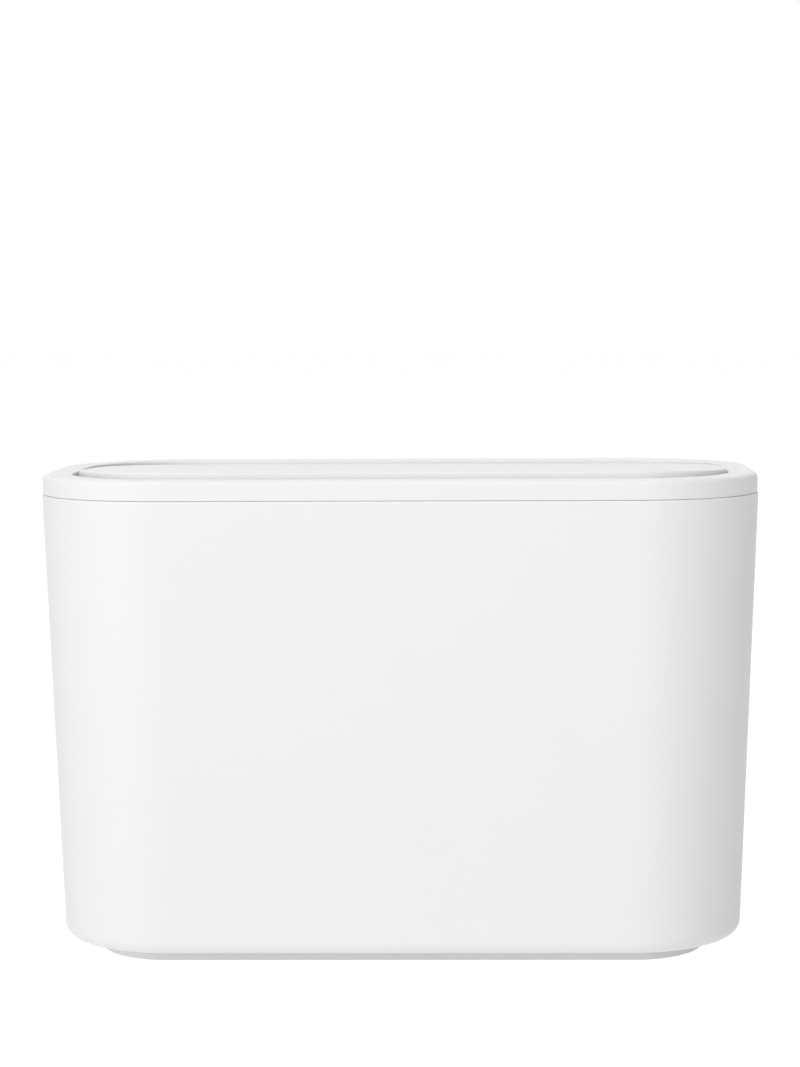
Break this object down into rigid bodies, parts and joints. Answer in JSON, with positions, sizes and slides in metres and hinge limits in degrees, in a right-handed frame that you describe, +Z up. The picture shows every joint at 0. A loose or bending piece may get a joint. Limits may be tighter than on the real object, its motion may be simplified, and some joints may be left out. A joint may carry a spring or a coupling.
{
  "type": "swing-lid bathroom bin",
  "caption": "Small tapered bathroom bin with soft corners, a recessed grip ring, a lift-off lid frame and a weighted flap that swings both ways on stub pins.",
  "frame": {"origin": "on the floor, under the middle of the bin", "axes": "+X left to right along the flap's pivot line, +Y from front to back, +Z up"},
  "size_m": [0.24, 0.12, 0.1628],
  "materials": {
    "white_plastic": "satin",
    "inner_plastic": "satin",
    "grip_rubber": "matte",
    "acetal": "satin",
    "steel": "brushed"
  },
  "bodies": {
    "tub": {"body_shell": "white_plastic", "foot_ring": "grip_rubber"},
    "lid": {"lid_frame": "white_plastic", "pivot_clip_left": "acetal", "pivot_clip_right": "acetal"},
    "flap": {"flap_cover": "white_plastic", "flap_base": "inner_plastic", "ballast_bar": "steel", "pivot_pin_left": "steel", "pivot_pin_right": "steel"}
  },
  "joints": [
    {"name": "lid_lift", "type": "slide", "parent": "tub", "child": "lid", "axis": [0, 0, 1], "range_m": [0, 0.06]},
    {"name": "flap_swing", "type": "hinge", "parent": "lid", "child": "flap", "pos_m": [0, 0, 0.15535], "axis": [1, 0, 0], "range_deg": [-65.8, 69.7]}
  ]
}
